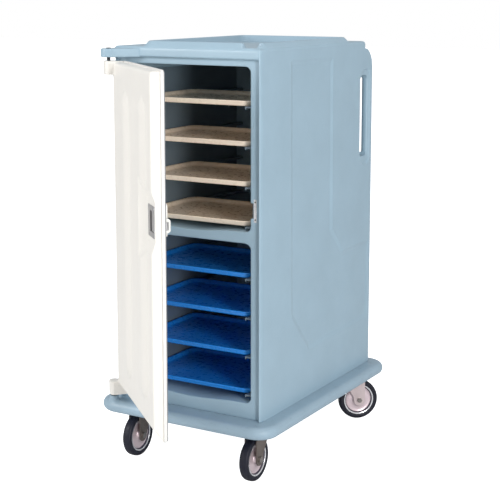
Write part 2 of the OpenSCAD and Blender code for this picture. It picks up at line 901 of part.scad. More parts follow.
module latch_cup_space() {
    box(cup_a0, scoop_b - 1, latch_z - cup_half, cup_a1, cup_b, latch_z + cup_half);
    box(passage_a0, cup_b - 1, arm_z - passage_half, passage_a1, panel_b + 1,
        arm_z + passage_half);
}

module door_outer_shell() color(cream) at_door() difference() {
    union() {
        difference() {
            union() {
                shell_form(0);
                flute(door_a0 + (door_a1 - door_a0) * 0.35);
                flute(door_a0 + (door_a1 - door_a0) * 0.77);
            }
            latch_scoop();
            door_space();
        }
        hinge_block(door_z0);
        hinge_block(door_z1 - hinge_block_h);
    }
    latch_cup_space();
    bush_seats(bush_r, 1);
    screw_bosses(2, panel_b - 16, panel_b + 1);
    latch_screw_shanks();
}

module door_foam() color(foam_yellow) at_door() difference() {
    door_space();
    hinge_block(door_z0);
    hinge_block(door_z1 - hinge_block_h);
}

module door_inner_panel() color(cream) at_door() difference() {
    along_y(panel_b, door_b1) polygon(round_rect(door_a0, door_z0, door_a1, door_z1, 12));
    screw_bosses(2, panel_b - 1, door_b1 + 1);
    box(passage_a0, panel_b - 1, arm_z - passage_half, passage_a1, door_b1 + 1,
        arm_z + passage_half);
    housing_screw_shanks();
}

module door_seal() color([0.55, 0.56, 0.58]) at_door() {
    e = 3;
    along_y(door_b1, door_b1 + seal_t) difference() {
        polygon(round_rect(door_a0 + e, door_z0 + e, door_a1 - e, door_z1 - e, 10));
        polygon(round_rect(door_a0 + e + seal_w, door_z0 + e + seal_w,
            door_a1 - e - seal_w, door_z1 - e - seal_w, 6));
    }
}

module door_screws() color(steel) at_door() {
    screw_bosses(2, panel_b - 16, door_b1 + 0.5);
    screw_bosses(4, door_b1, door_b1 + 2);
}

module hinge_bushes() color(black) at_door() difference() {
    bush_seats(bush_r, 0);
    bush_seats(pin_r + fit, 1);
}

// ---- Latch ----------------------------------------------------------------

module latch_screw_shanks() {
    for (a = [latch_a0 + 8, latch_a1 - 5])
        for (s = [-1, 1])
            rod_y(a, latch_z + s * (latch_h / 2 - 7), scoop_b - plate_t, scoop_b + 9, 1.5);
}

module housing_screw_shanks() {
    for (s = [-1, 1])
        rod_y(flange_mid, latch_z + s * (housing_half - 9),
            door_b1 - 8, door_b1 + housing_low + 0.5, 1.5);
}

// Face plate with a sunken cup for the fingers
module latch_plate() color(steel) at_door() difference() {
    union() {
        along_y(scoop_b - plate_t, scoop_b)
            polygon(round_rect(latch_a0, latch_z - latch_h / 2, latch_a1,
                latch_z + latch_h / 2, 5));
        box(cup_a0, scoop_b - 0.5, latch_z - cup_half, cup_a1, cup_b, latch_z + cup_half);
    }
    box(cup_a0 + cup_wall, scoop_b - plate_t - 1, latch_z - cup_half + cup_wall,
        cup_a1 - cup_wall, cup_b - cup_wall, latch_z + cup_half - cup_wall);
    box(paddle_a - 15, cup_b - cup_wall - 1, arm_z - arm_h / 2 - 1.5, paddle_a + 3,
        cup_b + 1, arm_z + arm_h / 2 + 1.5);
    rod_z(paddle_a, paddle_b, latch_z - cup_half - 1, latch_z + cup_half + 1, latch_pin_r);
    latch_screw_shanks();
}

module latch_pin() color(zinc) at_door()
    rod_z(paddle_a, paddle_b, latch_z - cup_half, latch_z + cup_half, latch_pin_r);

module latch_spring() color(steel) at_door() difference() {
    rod_z(paddle_a, paddle_b, latch_z - spring_half, latch_z + spring_half, spring_r);
    rod_z(paddle_a, paddle_b, latch_z - spring_half - 1, latch_z + spring_half + 1,
        latch_pin_r + 0.02);
}

module latch_paddle() color(steel) at_door() difference() {
    union() {
        z0 = latch_z - spring_half - 1 - knuckle_len;
        z1 = latch_z + spring_half + 1;
        box(paddle_a - paddle_len, paddle_b - knuckle_r, z0, paddle_a,
            paddle_b - knuckle_r + 3, z1 + knuckle_len);
        for (z = [z0, z1]) rod_z(paddle_a, paddle_b, z, z + knuckle_len, knuckle_r);
        box(paddle_a - arm_w / 2, paddle_b, arm_z - arm_h / 2, paddle_a + arm_w / 2,
            paddle_b + paddle_arm, arm_z + arm_h / 2);
        rod_z(paddle_a, paddle_b + paddle_arm, arm_z - arm_h / 2, arm_z + arm_h / 2,
            arm_tip_r);
    }
    rod_z(paddle_a, paddle_b, latch_z - cup_half, latch_z + cup_half, latch_pin_r + fit);
    // room for the spring
    rod_z(paddle_a, paddle_b, latch_z - spring_half - 1, latch_z + spring_half + 1,
        spring_r + 0.4);
}

module latch_housing() color(cream) at_door() difference() {
    union() {
        along_y(door_b1, door_b1 + housing_low)
            polygon(round_rect(housing_a0, latch_z - housing_half, flange_a1,
                latch_z + housing_half, 9));
        along_x(housing_a0, housing_a1) polygon([
            [door_b1, arm_z - housing_rib], [door_b1 + housing_low, arm_z - housing_rib],
            [door_b1 + housing_t, arm_z - 16], [door_b1 + housing_t, arm_z + 16],
            [door_b1 + housing_low, arm_z + housing_rib], [door_b1, arm_z + housing_rib]]);
    }
    // bolt way, open towards the door and at the free end
    box(housing_a0 + 4, door_b1 - 1, arm_z - bolt_half - bolt_slide, housing_a1 + 1,
        bolt_b0 + bolt_t + bolt_slide, arm_z + bolt_half + bolt_slide);
    housing_screw_shanks();
}

module latch_bolt() color(steel) at_door() {
    b1 = bolt_b0 + bolt_t;
    along_z(arm_z - bolt_half, arm_z + bolt_half) polygon([
        [bolt_a1 - bolt_len, bolt_b0], [bolt_a1, bolt_b0], [bolt_a1, b1 - 7],
        [bolt_a1 - 7, b1], [bolt_a1 - bolt_len, b1]]);
    difference() {
        along_z(arm_z - tail_half, arm_z + tail_half) polygon([
            [paddle_a - 9, tail_out], [paddle_a + 9, tail_out],
            [paddle_a + 9, door_b1 + 2], [neck_a1, door_b1 + 2],
            [neck_a1, bolt_b0 + 1], [neck_a0, bolt_b0 + 1],
            [neck_a0, door_b1 - 4], [paddle_a - 9, door_b1 - 4]]);
        box(paddle_a - tip_slot, tail_out - 1, arm_z - tail_half - 1, paddle_a + tip_slot,
            paddle_b + paddle_arm + tip_slot + 0.7, arm_z + tail_half + 1);
    }
}

module latch_screws() color(steel) at_door() {
    latch_screw_shanks();
    for (a = [latch_a0 + 8, latch_a1 - 5])
        for (s = [-1, 1])
            rod_y(a, latch_z + s * (latch_h / 2 - 7), scoop_b - plate_t - 1,
                scoop_b - plate_t, 3);
    housing_screw_shanks();
    for (s = [-1, 1])
        rod_y(flange_mid, latch_z + s * (housing_half - 9),
            door_b1 + housing_low, door_b1 + housing_low + 2, 3);
}

// ---- Casters --------------------------------------------------------------

module caster_bolt_shanks(z0) {
    for (spot = caster_spots)
        for (i = [-1, 1])
            for (j = [-1, 1])
                rod_z(spot[0] + i * caster_hole, spot[1] + j * caster_hole, z0,
                    caster_h + 26, caster_bolt_r);
}

module caster_plates() color(zinc) at_front() difference() {
    for (spot = caster_spots) translate([spot[0], spot[1], 0]) {
        along_z(plate_z, caster_h)
            polygon(round_rect(-plate_half, -plate_half, plate_half, plate_half, 6));
        rod_z(0, 0, crown_z + crown_t + door_lift, plate_z + 1, race_r);
    }
    caster_bolt_shanks(plate_z - 1);
    for (spot = caster_spots)
        rod_z(spot[0], spot[1], crown_z, caster_h + 1, axle_r);
}

module caster_bolts() color(steel) at_front() {
    caster_bolt_shanks(plate_z - 1);
    for (spot = caster_spots)
        for (i = [-1, 1])
            for (j = [-1, 1])
                translate([spot[0] + i * caster_hole, spot[1] + j * caster_hole, plate_z - 6])
                    cylinder(r = 7, h = 6, $fn = 6);
}

module caster_kingpins() color(steel) at_front() for (spot = caster_spots) {
    rod_z(spot[0], spot[1], crown_z - door_lift - 1, caster_h, axle_r);
    rod_z(spot[0], spot[1], crown_z - door_lift - 4, crown_z - door_lift, axle_r + 3);
}

module fork(i) color(zinc) at_caster(i) difference() {
    top = crown_z + crown_t;
    union() {
        rod_z(0, 0, crown_z, top, crown_r);
        box(-26, -fork_inner - fork_t, crown_z, trail, fork_inner + fork_t, top);
        for (s = [-1, 1])
            translate([0, s * (fork_inner + fork_t / 2) - fork_t / 2, 0]) {
                along_y(0, fork_t) polygon([
                    [-22, top], [trail, top], [trail + fork_end_r, crown_z - 10],
                    [trail + fork_end_r, wheel_r], [trail - fork_end_r, wheel_r],
                    [trail - fork_end_r - 3, wheel_r + 16], [-22, crown_z - 8]]);
                rod_y(trail, wheel_r, 0, fork_t, fork_end_r);
            }
    }
    rod_z(0, 0, crown_z - 1, top + 1, axle_r + fit);
    rod_y(trail, wheel_r, -fork_inner - fork_t - 1, fork_inner + fork_t + 1, axle_r);
}

module axle(i) color(steel) at_caster(i) on_axle() {
    half = fork_inner + fork_t;
    translate([0, 0, -half - 2]) cylinder(r = axle_r, h = 2 * half + 10);
    translate([0, 0, half]) cylinder(r = 9.5, h = 7, $fn = 6);
    translate([0, 0, -half - 6]) cylinder(r = 10, h = 6);
}

module hub(i) color(hub_grey) at_caster(i) on_axle() rotate_extrude() {
    rim_r = wheel_r - tyre_t;
    half = tyre_w / 2 - 2;
    barrel = fork_inner - 0.5;
    polygon([
        [axle_r + fit, -barrel], [15, -barrel], [17, -7], [rim_r - 12, -5],
        [rim_r - 6, -half], [rim_r, -half], [rim_r, half], [rim_r - 6, half],
        [rim_r - 12, 5], [17, 7], [15, barrel], [axle_r + fit, barrel]]);
}

module tyre(i) color(black) at_caster(i) on_axle() rotate_extrude() {
    rim_r = wheel_r - tyre_t;
    half = tyre_w / 2;
    polygon(concat(
        [[rim_r, -half + 2], [rim_r + 3, -half]],
        arc(wheel_r - 8, -half + 8, 8, 270, 345, 4), [[wheel_r, -4], [wheel_r, 4]],
        arc(wheel_r - 8, half - 8, 8, 15, 90, 4),
        [[rim_r + 3, half], [rim_r, half - 2]]));
}

// ---- Nodes ----------------------------------------------------------------

cabinet_shell();
cabinet_foam();
base_bumper();
divider_shell();
divider_foam();
rack_upper_left();
rack_upper_right();
rack_lower_left();
rack_lower_right();
rack_screws();
strike_plate();
strike_screws();
hinge_pin_top();
hinge_pin_bottom();
hinge_washer();
base_bolts();
caster_plates();
caster_bolts();
caster_kingpins();
door_outer_shell();
door_foam();
door_inner_panel();
door_seal();
door_screws();
hinge_bushes();
latch_plate();
latch_pin();
latch_spring();
latch_housing();
latch_screws();
latch_paddle();
latch_bolt();
tray_upper(0);  // tray_upper_1
tray_upper(1);  // tray_upper_2
tray_upper(2);  // tray_upper_3
tray_upper(3);  // tray_upper_4
tray_lower(0);  // tray_lower_1
tray_lower(1);  // tray_lower_2
tray_lower(2);  // tray_lower_3
tray_lower(3);  // tray_lower_4
fork(0);  // fork_front_right
fork(1);  // fork_front_left
fork(2);  // fork_rear_right
fork(3);  // fork_rear_left
hub(0);  // hub_front_right
hub(1);  // hub_front_left
hub(2);  // hub_rear_right
hub(3);  // hub_rear_left
tyre(0);  // tyre_front_right
tyre(1);  // tyre_front_left
tyre(2);  // tyre_rear_right
tyre(3);  // tyre_rear_left
axle(0);  // axle_front_right
axle(1);  // axle_front_left
axle(2);  // axle_rear_right
axle(3);  // axle_rear_left
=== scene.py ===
import math

import bmesh
import bpy
from mathutils import Matrix, Vector


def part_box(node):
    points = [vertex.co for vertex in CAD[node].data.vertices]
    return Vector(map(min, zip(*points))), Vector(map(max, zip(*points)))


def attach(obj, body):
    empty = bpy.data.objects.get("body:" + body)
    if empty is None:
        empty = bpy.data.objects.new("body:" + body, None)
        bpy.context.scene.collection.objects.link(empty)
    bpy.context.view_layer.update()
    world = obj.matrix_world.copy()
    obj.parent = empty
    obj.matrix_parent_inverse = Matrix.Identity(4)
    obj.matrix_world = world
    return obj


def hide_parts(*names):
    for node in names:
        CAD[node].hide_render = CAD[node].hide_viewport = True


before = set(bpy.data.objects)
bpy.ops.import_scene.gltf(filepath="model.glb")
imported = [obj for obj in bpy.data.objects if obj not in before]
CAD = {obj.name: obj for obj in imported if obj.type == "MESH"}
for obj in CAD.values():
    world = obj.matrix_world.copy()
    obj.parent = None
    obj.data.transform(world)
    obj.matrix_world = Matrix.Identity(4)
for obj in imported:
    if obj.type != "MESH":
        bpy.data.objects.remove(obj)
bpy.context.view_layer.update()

# The cart's own measures, in metres. Cart coordinates count from the cabinet's
# front face; FRONT sets them in the row frame.
FRONT = -0.24939091621560522
DOOR_OPEN = math.radians(42)
HINGE = Vector((-0.279, -0.040 + FRONT, 0.0))
TO_DOOR = Matrix.Rotation(DOOR_OPEN, 4, "Z") @ Matrix.Translation(-HINGE)
HALF_W, BODY_D = 0.286, 0.846  # the cabinet's half width and depth

# The seam bead along the cabinet's sides: its height, radius and clear ends.
SEAM_Z, BEAD_R = 0.218, 0.0016
BEAD_FRONT, BEAD_REAR = 0.024, 0.010
BEAD_TIP, BEAD_TIP_SCALE = 0.003, 0.3

# The casters: kingpin x and y in cart coordinates, and the fork's turn in degrees.
WHEEL_R = 0.076
TRAIL = 0.036
CASTERS = {
    "front_right": (0.238, 0.077, -90.0),
    "front_left": (-0.238, 0.077, -89.0),
    "rear_right": (0.238, 0.769, 43.0),
    "rear_left": (-0.238, 0.769, 20.0),
}


# ---- Materials --------------------------------------------------------------

def linear(rgb):
    """An sRGB colour of 0 to 255 as linear RGBA."""
    out = []
    for c in rgb:
        c = c / 255
        out.append(c / 12.92 if c <= 0.04045 else ((c + 0.055) / 1.055) ** 2.4)
    return (*out, 1.0)


def scaled(colour, k):
    """A linear colour made k times as bright."""
    return tuple(min(1.0, c * k) for c in colour[:3]) + (1.0,)


class Look:
    """A principled material whose textures run on object coordinates."""

    def __init__(self, name, metallic=0.0, specular=0.5, coat=0.0):
        self.m = bpy.data.materials.new(name)
        self.m.use_nodes = True
        self.nt = self.m.node_tree
        self.bsdf = self.nt.nodes["Principled BSDF"]
        self.bsdf.inputs["Metallic"].default_value = metallic
        self.bsdf.inputs["Specular IOR Level"].default_value = specular
        self.bsdf.inputs["Coat Weight"].default_value = coat
        self.bsdf.inputs["Coat Roughness"].default_value = 0.18
        self.tc = self.nt.nodes.new("ShaderNodeTexCoord")

    def node(self, kind, **values):
        n = self.nt.nodes.new(kind)
        for k, v in values.items():
            setattr(n, k, v)
        return n

    def link(self, a, b):
        self.nt.links.new(a, b)

    def noise(self, scale, detail=3.0, stretch=(1, 1, 1), rough=0.5):
        """Noise of that scale; a small stretch draws it out along its axis."""
        mapping = self.node("ShaderNodeMapping")
        mapping.inputs["Scale"].default_value = stretch
        self.link(self.tc.outputs["Object"], mapping.inputs["Vector"])
        n = self.node("ShaderNodeTexNoise")
        n.inputs["Scale"].default_value = scale
        n.inputs["Detail"].default_value = detail
        n.inputs["Roughness"].default_value = rough
        self.link(mapping.outputs["Vector"], n.inputs["Vector"])
        return n.outputs["Fac"]

    def remap(self, fac, lo, hi, a=0.3, b=0.7):
        """fac from the range a to b onto the range lo to hi."""
        r = self.node("ShaderNodeMapRange")
        r.inputs["From Min"].default_value = a
        r.inputs["From Max"].default_value = b
        r.inputs["To Min"].default_value = lo
        r.inputs["To Max"].default_value = hi
        self.link(fac, r.inputs["Value"])
        return r.outputs["Result"]

    def mix(self, fac, a, b):
        """a where fac is 0 and b where it is 1; each is a colour or a socket."""
        x = self.node("ShaderNodeMix", data_type="RGBA")
        self.link(fac, x.inputs["Factor"])
        for value, socket in ((a, x.inputs["A"]), (b, x.inputs["B"])):
            if isinstance(value, tuple):
                socket.default_value = value
            else:
                self.link(value, socket)
        return x.outputs["Result"]

    def tinted(self, base, tint, scale, detail):
        """base, lighter and darker by tint in soft patches."""
        patches = self.remap(self.noise(scale, detail), 0.0, 1.0)
        return self.mix(patches, scaled(base, 1 - tint), scaled(base, 1 + tint))

    def colour(self, socket):
        self.link(socket, self.bsdf.inputs["Base Color"])

    def roughness(self, socket):
        self.link(socket, self.bsdf.inputs["Roughness"])

    def bump(self, *layers):
        """layers are (height socket, strength, distance)."""
        last = None
        for height, strength, distance in layers:
            b = self.node("ShaderNodeBump")
            b.inputs["Strength"].default_value = strength
            b.inputs["Distance"].default_value = distance
            self.link(height, b.inputs["Height"])
            if last is not None:
                self.link(last, b.inputs["Normal"])
            last = b.outputs["Normal"]
        self.link(last, self.bsdf.inputs["Normal"])


def moulded_plastic(name, rgb, rough, tint, scuff=0.0):
    """Rotationally moulded plastic: faint mottling, orange peel and a fine grain."""
    k = Look(name)
    base = linear(rgb)
    grain = k.remap(k.noise(900.0, 2.0), 0.0, 1.0)
    colour = k.mix(k.remap(grain, 0.0, 0.12, 0.0, 1.0), k.tinted(base, tint, 7.0, 4.0),
                   scaled(base, 0.86))
    if scuff:
        marks = k.remap(k.noise(38.0, 6.0, (1, 1, 5), 0.7), 0.0, scuff, 0.56, 0.72)
        colour = k.mix(marks, colour, linear(SCUFF_RGB))
    k.colour(colour)
    k.roughness(k.remap(k.noise(24.0, 4.0), *rough))
    k.bump((k.noise(60.0, 2.0), 0.10, 0.004), (k.noise(520.0, 2.0), 0.06, 0.001))
    return k.m


def plain_plastic(name, rgb, rough, tint=0.03, peel=0.05):
    """Smooth plastic or rubber with a slight peel."""
    k = Look(name)
    k.colour(k.tinted(linear(rgb), tint, 18.0, 3.0))
    k.roughness(k.remap(k.noise(40.0, 3.0), *rough))
    k.bump((k.noise(340.0, 2.0), peel, 0.001))
    return k.m


def fibre_tray(name, rgb, fleck_rgb):
    """Pressed fibreglass: a fine fleck in the colour under a smooth resin face."""
    k = Look(name, coat=0.25)
    fleck = k.remap(k.noise(1300.0, 3.0, rough=0.65), 0.0, 0.45, 0.50, 0.70)
    k.colour(k.mix(fleck, k.tinted(linear(rgb), 0.05, 12.0, 3.0), linear(fleck_rgb)))
    k.roughness(k.remap(k.noise(60.0, 3.0), 0.24, 0.36))
    k.bump((k.noise(420.0, 2.0), 0.03, 0.0004))
    return k.m


def metal(name, rgb, rough=(0.22, 0.38), stretch=(1, 1, 1), grain=0.08, tint=0.08,
          metallic=1.0):
    """Metal with a grain in its roughness; stretch draws the grain out."""
    k = Look(name, metallic=metallic)
    lines = k.noise(260.0, 4.0, stretch, 0.6)
    k.colour(k.tinted(linear(rgb), tint, 22.0, 3.0))
    k.roughness(k.remap(lines, *rough))
    k.bump((lines, grain, 0.0006))
    return k.m


def tyre_rubber(name, rgb):
    """Dark rubber with a little floor dust."""
    k = Look(name, specular=0.35)
    base = linear(rgb)
    dust = k.remap(k.noise(55.0, 5.0, rough=0.65), 0.0, 0.5, 0.45, 0.72)
    k.colour(k.mix(dust, base, scaled(base, 1.5)))
    k.roughness(k.remap(k.noise(80.0, 4.0), 0.42, 0.62))
    k.bump((k.noise(420.0, 3.0), 0.14, 0.0008))
    return k.m


SCUFF_RGB = (90, 100, 110)

# Each look's maker, its sRGB colour and the maker's other values.
FINISHES = {
    "cabinet_plastic": (moulded_plastic, (154, 179, 194), dict(rough=(0.30, 0.42), tint=0.03)),
    "base_plastic": (moulded_plastic, (152, 175, 190),
                     dict(rough=(0.34, 0.48), tint=0.04, scuff=0.22)),
    "door_plastic": (moulded_plastic, (238, 234, 227), dict(rough=(0.30, 0.42), tint=0.012)),
    "panel_plastic": (moulded_plastic, (232, 230, 226), dict(rough=(0.36, 0.50), tint=0.012)),
    # The runners' light grey is darkened to a mid grey-blue: painted shade for where they sit
    # inside the cabinet.
    "runner_plastic": (plain_plastic, (120, 136, 148), dict(rough=(0.34, 0.46))),
    "hinge_black": (plain_plastic, (26, 27, 32), dict(rough=(0.30, 0.44))),
    "bush_nylon": (plain_plastic, (22, 22, 26), dict(rough=(0.34, 0.46))),
    "seal_rubber": (plain_plastic, (120, 122, 126), dict(rough=(0.6, 0.75), peel=0.12)),
    "housing_plastic": (plain_plastic, (236, 234, 228), dict(rough=(0.26, 0.38))),
    "hub_shadow": (plain_plastic, (62, 56, 70), dict(rough=(0.4, 0.55))),
    "fastener_steel": (metal, (190, 190, 194), {}),
    "fastener_dark": (metal, (92, 88, 86), dict(rough=(0.30, 0.45), tint=0.12)),
    "strike_steel": (metal, (240, 240, 242),
                     dict(rough=(0.22, 0.36), stretch=(1, 1, 0.05), metallic=0.45)),
    "latch_metal": (metal, (172, 170, 170),
                    dict(rough=(0.26, 0.42), stretch=(1, 1, 0.06), metallic=0.65)),
    "caster_zinc": (metal, (124, 114, 108),
                    dict(rough=(0.34, 0.52), grain=0.12, tint=0.16, metallic=0.8)),
    # A lighter copy of the caster zinc: painted light for the rear right fork.
    "caster_zinc_painted_light": (metal, (206, 190, 190),
                      dict(rough=(0.34, 0.48), grain=0.10, metallic=0.6)),
    "axle_steel": (metal, (150, 144, 140), dict(rough=(0.28, 0.42), tint=0.12, metallic=0.85)),
    "hub_alloy": (metal, (228, 209, 213), dict(rough=(0.30, 0.44), tint=0.05, metallic=0.6)),
    # The hub's rim: a lighter, glossier copy of the alloy, as a painted highlight.
    "hub_rim_painted_highlight": (metal, (240, 238, 240), dict(rough=(0.14, 0.24), tint=0.03, metallic=0.7)),
    "tray_cream": (fibre_tray, (254, 234, 212), dict(fleck_rgb=(248, 220, 194))),
    "tray_blue": (fibre_tray, (34, 136, 224), dict(fleck_rgb=(26, 118, 206))),
    "tyre_black": (tyre_rubber, (22, 23, 36), {}),
}
LOOKS = {name: make(name, rgb, **values) for name, (make, rgb, values) in FINISHES.items()}


def paint(obj, look):
    obj.data.materials.clear()
    obj.data.materials.append(LOOKS[look])


# ---- Mesh helpers -----------------------------------------------------------

# Points closer than MERGE become one, faces flatter than FLAT_ANGLE too; sharper
# edges than the others are bevelled or stay sharp.
MERGE = 1e-6
FLAT_ANGLE = math.radians(0.6)
BEVEL_ANGLE = math.radians(30)
SOFTENED_SHARP, LATHE_SHARP, SWEPT_SHARP = (math.radians(a) for a in (40, 50, 60))


def new_object(name, mesh):
    o = bpy.data.objects.new(name, mesh)
    bpy.context.scene.collection.objects.link(o)
    return o


def from_bmesh(name, bm):
    me = bpy.data.meshes.new(name)
    bm.to_mesh(me)
    bm.free()
    return new_object(name, me)


def baked(obj):
    """Applies the modifiers of obj and returns its mesh."""
    bpy.context.view_layer.update()
    dg = bpy.context.evaluated_depsgraph_get()
    me = bpy.data.meshes.new_from_object(obj.evaluated_get(dg))
    old = obj.data
    obj.modifiers.clear()
    obj.data = me
    if old.users == 0:
        bpy.data.meshes.remove(old)
    return me


def joined(nodes, matrix=None):
    """One bmesh of those CAD nodes, moved by matrix."""
    bm = bmesh.new()
    for n in nodes:
        bm.from_mesh(CAD[n].data)
    bmesh.ops.remove_doubles(bm, verts=bm.verts, dist=MERGE)
    if matrix is not None:
        bmesh.ops.transform(bm, matrix=matrix, verts=bm.verts)
    return bm


def shade(obj, limit):
    """Smooth faces, with edges sharper than that angle kept sharp."""
    bm = bmesh.new()
    bm.from_mesh(obj.data)
    for f in bm.faces:
        f.smooth = True
    for e in bm.edges:
        e.smooth = len(e.link_faces) == 2 and e.calc_face_angle(0.0) < limit
    bm.to_mesh(obj.data)
    bm.free()


def stands_for(obj, body, look, nodes):
    """Gives obj its look and puts it on its body in the place of those nodes."""
    paint(obj, look)
    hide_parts(*nodes)
    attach(obj, body)
    return obj


def moulded(name, body, look, nodes, voxel, rounds, keep, matrix=None):
    """One soft-edged skin over the CAD nodes of a moulding.

    It is meshed again in cubes of the size voxel, set along the axes after matrix;
    rounds is how often it is smoothed and keep the share of faces that stays.
    """
    o = from_bmesh(name, joined(nodes, matrix))
    r = o.modifiers.new("remesh", "REMESH")
    r.mode = "VOXEL"
    r.voxel_size = voxel
    s = o.modifiers.new("smooth", "SMOOTH")
    s.factor = 0.5
    s.iterations = rounds
    o.modifiers.new("decimate", "DECIMATE").ratio = keep
    me = baked(o)
    if matrix is not None:
        me.transform(matrix.inverted())
    for p in me.polygons:
        p.use_smooth = True
    o.modifiers.new("normals", "WEIGHTED_NORMAL").keep_sharp = True
    baked(o)
    return stands_for(o, body, look, nodes)


def soften(node, body, look, width, segments=2):
    """The CAD node with its edges rounded."""
    bm = joined([node])
    bmesh.ops.dissolve_limit(bm, angle_limit=FLAT_ANGLE, verts=bm.verts, edges=bm.edges)
    o = from_bmesh(node + "_piece", bm)
    b = o.modifiers.new("bevel", "BEVEL")
    b.width = width
    b.segments = segments
    b.limit_method = "ANGLE"
    b.angle_limit = BEVEL_ANGLE
    b.use_clamp_overlap = True
    baked(o)
    shade(o, SOFTENED_SHARP)
    o.modifiers.new("normals", "WEIGHTED_NORMAL").keep_sharp = True
    baked(o)
    return stands_for(o, body, look, [node])


def lathe(name, profile, place, segments=96):
    """A closed ring of (radius, height) points turned about its axis."""
    bm = bmesh.new()
    rings = []
    for i in range(segments):
        a = 2 * math.pi * i / segments
        rings.append([bm.verts.new((r * math.cos(a), r * math.sin(a), h)) for r, h in profile])
    n = len(profile)
    for i in range(segments):
        a, b = rings[i], rings[(i + 1) % segments]
        for j in range(n):
            bm.faces.new((a[j], b[j], b[(j + 1) % n], a[(j + 1) % n]))
    bmesh.ops.recalc_face_normals(bm, faces=bm.faces)
    bmesh.ops.transform(bm, matrix=place, verts=bm.verts)
    o = from_bmesh(name, bm)
    shade(o, LATHE_SHARP)
    return o


def rounded(x0, y0, x1, y1, r, n):
    """The outline of a rectangle with corners of radius r, in n steps each."""
    pts = []
    corners = ((x1 - r, y1 - r), (x0 + r, y1 - r), (x0 + r, y0 + r), (x1 - r, y0 + r))
    for quarter, (cx, cy) in enumerate(corners):
        for i in range(n + 1):
            a = math.radians(90 * (quarter + i / n))
            pts.append((cx + r * math.cos(a), cy + r * math.sin(a)))
    return pts


def add_bead(obj, a, b, r, sides=10):
    """A round bead moulded along a level straight line on obj, from a to b."""
    bm = bmesh.new()
    bm.from_mesh(obj.data)
    along = (b - a).normalized()
    across = along.cross(Vector((0, 0, 1)))
    rings = []
    for end, inset, k in ((a, 0.0, BEAD_TIP_SCALE), (a, BEAD_TIP, 1.0),
                          (b, -BEAD_TIP, 1.0), (b, 0.0, BEAD_TIP_SCALE)):
        ring = []
        for i in range(sides):
            t = 2 * math.pi * i / sides
            out = across * math.cos(t) + Vector((0, 0, math.sin(t)))
            ring.append(bm.verts.new(end + along * inset + out * (r * k)))
        rings.append(ring)
    faces = [bm.faces.new(rings[0]), bm.faces.new(rings[-1][::-1])]
    for p, q in zip(rings, rings[1:]):
        for i in range(sides):
            j = (i + 1) % sides
            faces.append(bm.faces.new((p[j], p[i], q[i], q[j])))
    bmesh.ops.recalc_face_normals(bm, faces=faces)
    for f in faces:
        f.smooth = True
    bm.to_mesh(obj.data)
    bm.free()


# ---- Mouldings --------------------------------------------------------------

cabinet = moulded("cabinet", "cart", "cabinet_plastic",
                  ["cabinet_shell", "cabinet_foam", "divider_shell", "divider_foam"],
                  voxel=0.0026, rounds=4, keep=0.32)
for side in (-1, 1):
    x, z = side * HALF_W, SEAM_Z + BEAD_R
    add_bead(cabinet, Vector((x, FRONT + BEAD_FRONT, z)),
             Vector((x, FRONT + BODY_D - BEAD_REAR, z)), BEAD_R)
moulded("base", "cart", "base_plastic", ["base_bumper"],
        voxel=0.003, rounds=6, keep=0.35)
moulded("door_outer", "door", "door_plastic", ["door_outer_shell", "door_foam"],
        voxel=0.002, rounds=6, keep=0.35, matrix=TO_DOOR)
soften("door_inner_panel", "door", "panel_plastic", 0.003, 3)

# ---- Racks, strike, hinge, latch --------------------------------------------

# The last values are the width of the rounding and its segments.
for n in ("rack_upper_left", "rack_upper_right", "rack_lower_left", "rack_lower_right"):
    soften(n, "cart", "runner_plastic", 0.0012)
soften("strike_plate", "cart", "strike_steel", 0.0004)
for n in ("hinge_pin_top", "hinge_pin_bottom", "hinge_washer"):
    soften(n, "cart", "hinge_black", 0.0008)
soften("latch_plate", "door", "latch_metal", 0.0005)
soften("latch_paddle", "latch_paddle", "latch_metal", 0.0006)
soften("latch_bolt", "latch_bolt", "latch_metal", 0.0005)
soften("latch_housing", "door", "housing_plastic", 0.0015, 3)
soften("caster_plates", "cart", "caster_zinc", 0.0008)

for n, look in (("rack_screws", "fastener_steel"), ("strike_screws", "fastener_dark"),
                ("base_bolts", "fastener_steel"), ("caster_bolts", "fastener_steel"),
                ("caster_kingpins", "fastener_steel"), ("door_screws", "fastener_steel"),
                ("hinge_bushes", "bush_nylon"), ("latch_pin", "latch_metal"),
                ("latch_screws", "fastener_steel"), ("door_seal", "seal_rubber")):
    paint(CAD[n], look)


def paddle_spring():
    """The torsion spring round the latch pin, as a coil of wire."""
    wire_r, turns, steps_a_turn, side = 0.00042, 8, 24, 8
    lo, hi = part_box("latch_spring")
    centre = (lo + hi) / 2
    r = (hi.x - lo.x) / 2 - wire_r
    half = (hi.z - lo.z) / 2 - wire_r
    up = Vector((0, 0, 1))
    bm = bmesh.new()
    rings, steps = [], turns * steps_a_turn
    for i in range(steps + 1):
        t = i / steps
        a = 2 * math.pi * turns * t
        out = Vector((math.cos(a), math.sin(a), 0))
        c = out * r + Vector((0, 0, -half + 2 * half * t))
        rings.append([bm.verts.new(c + (out * math.cos(b) + up * math.sin(b)) * wire_r)
                      for b in (2 * math.pi * k / side for k in range(side))])
    for a, b in zip(rings, rings[1:]):
        for k in range(side):
            bm.faces.new((a[k], a[(k + 1) % side], b[(k + 1) % side], b[k]))
    bm.faces.new(rings[0][::-1])
    bm.faces.new(rings[-1])
    bmesh.ops.recalc_face_normals(bm, faces=bm.faces)
    bmesh.ops.translate(bm, verts=bm.verts, vec=centre)
    o = from_bmesh("paddle_spring", bm)
    shade(o, SWEPT_SHARP)
    stands_for(o, "door", "fastener_steel", ["latch_spring"])


paddle_spring()

# ---- Trays ------------------------------------------------------------------

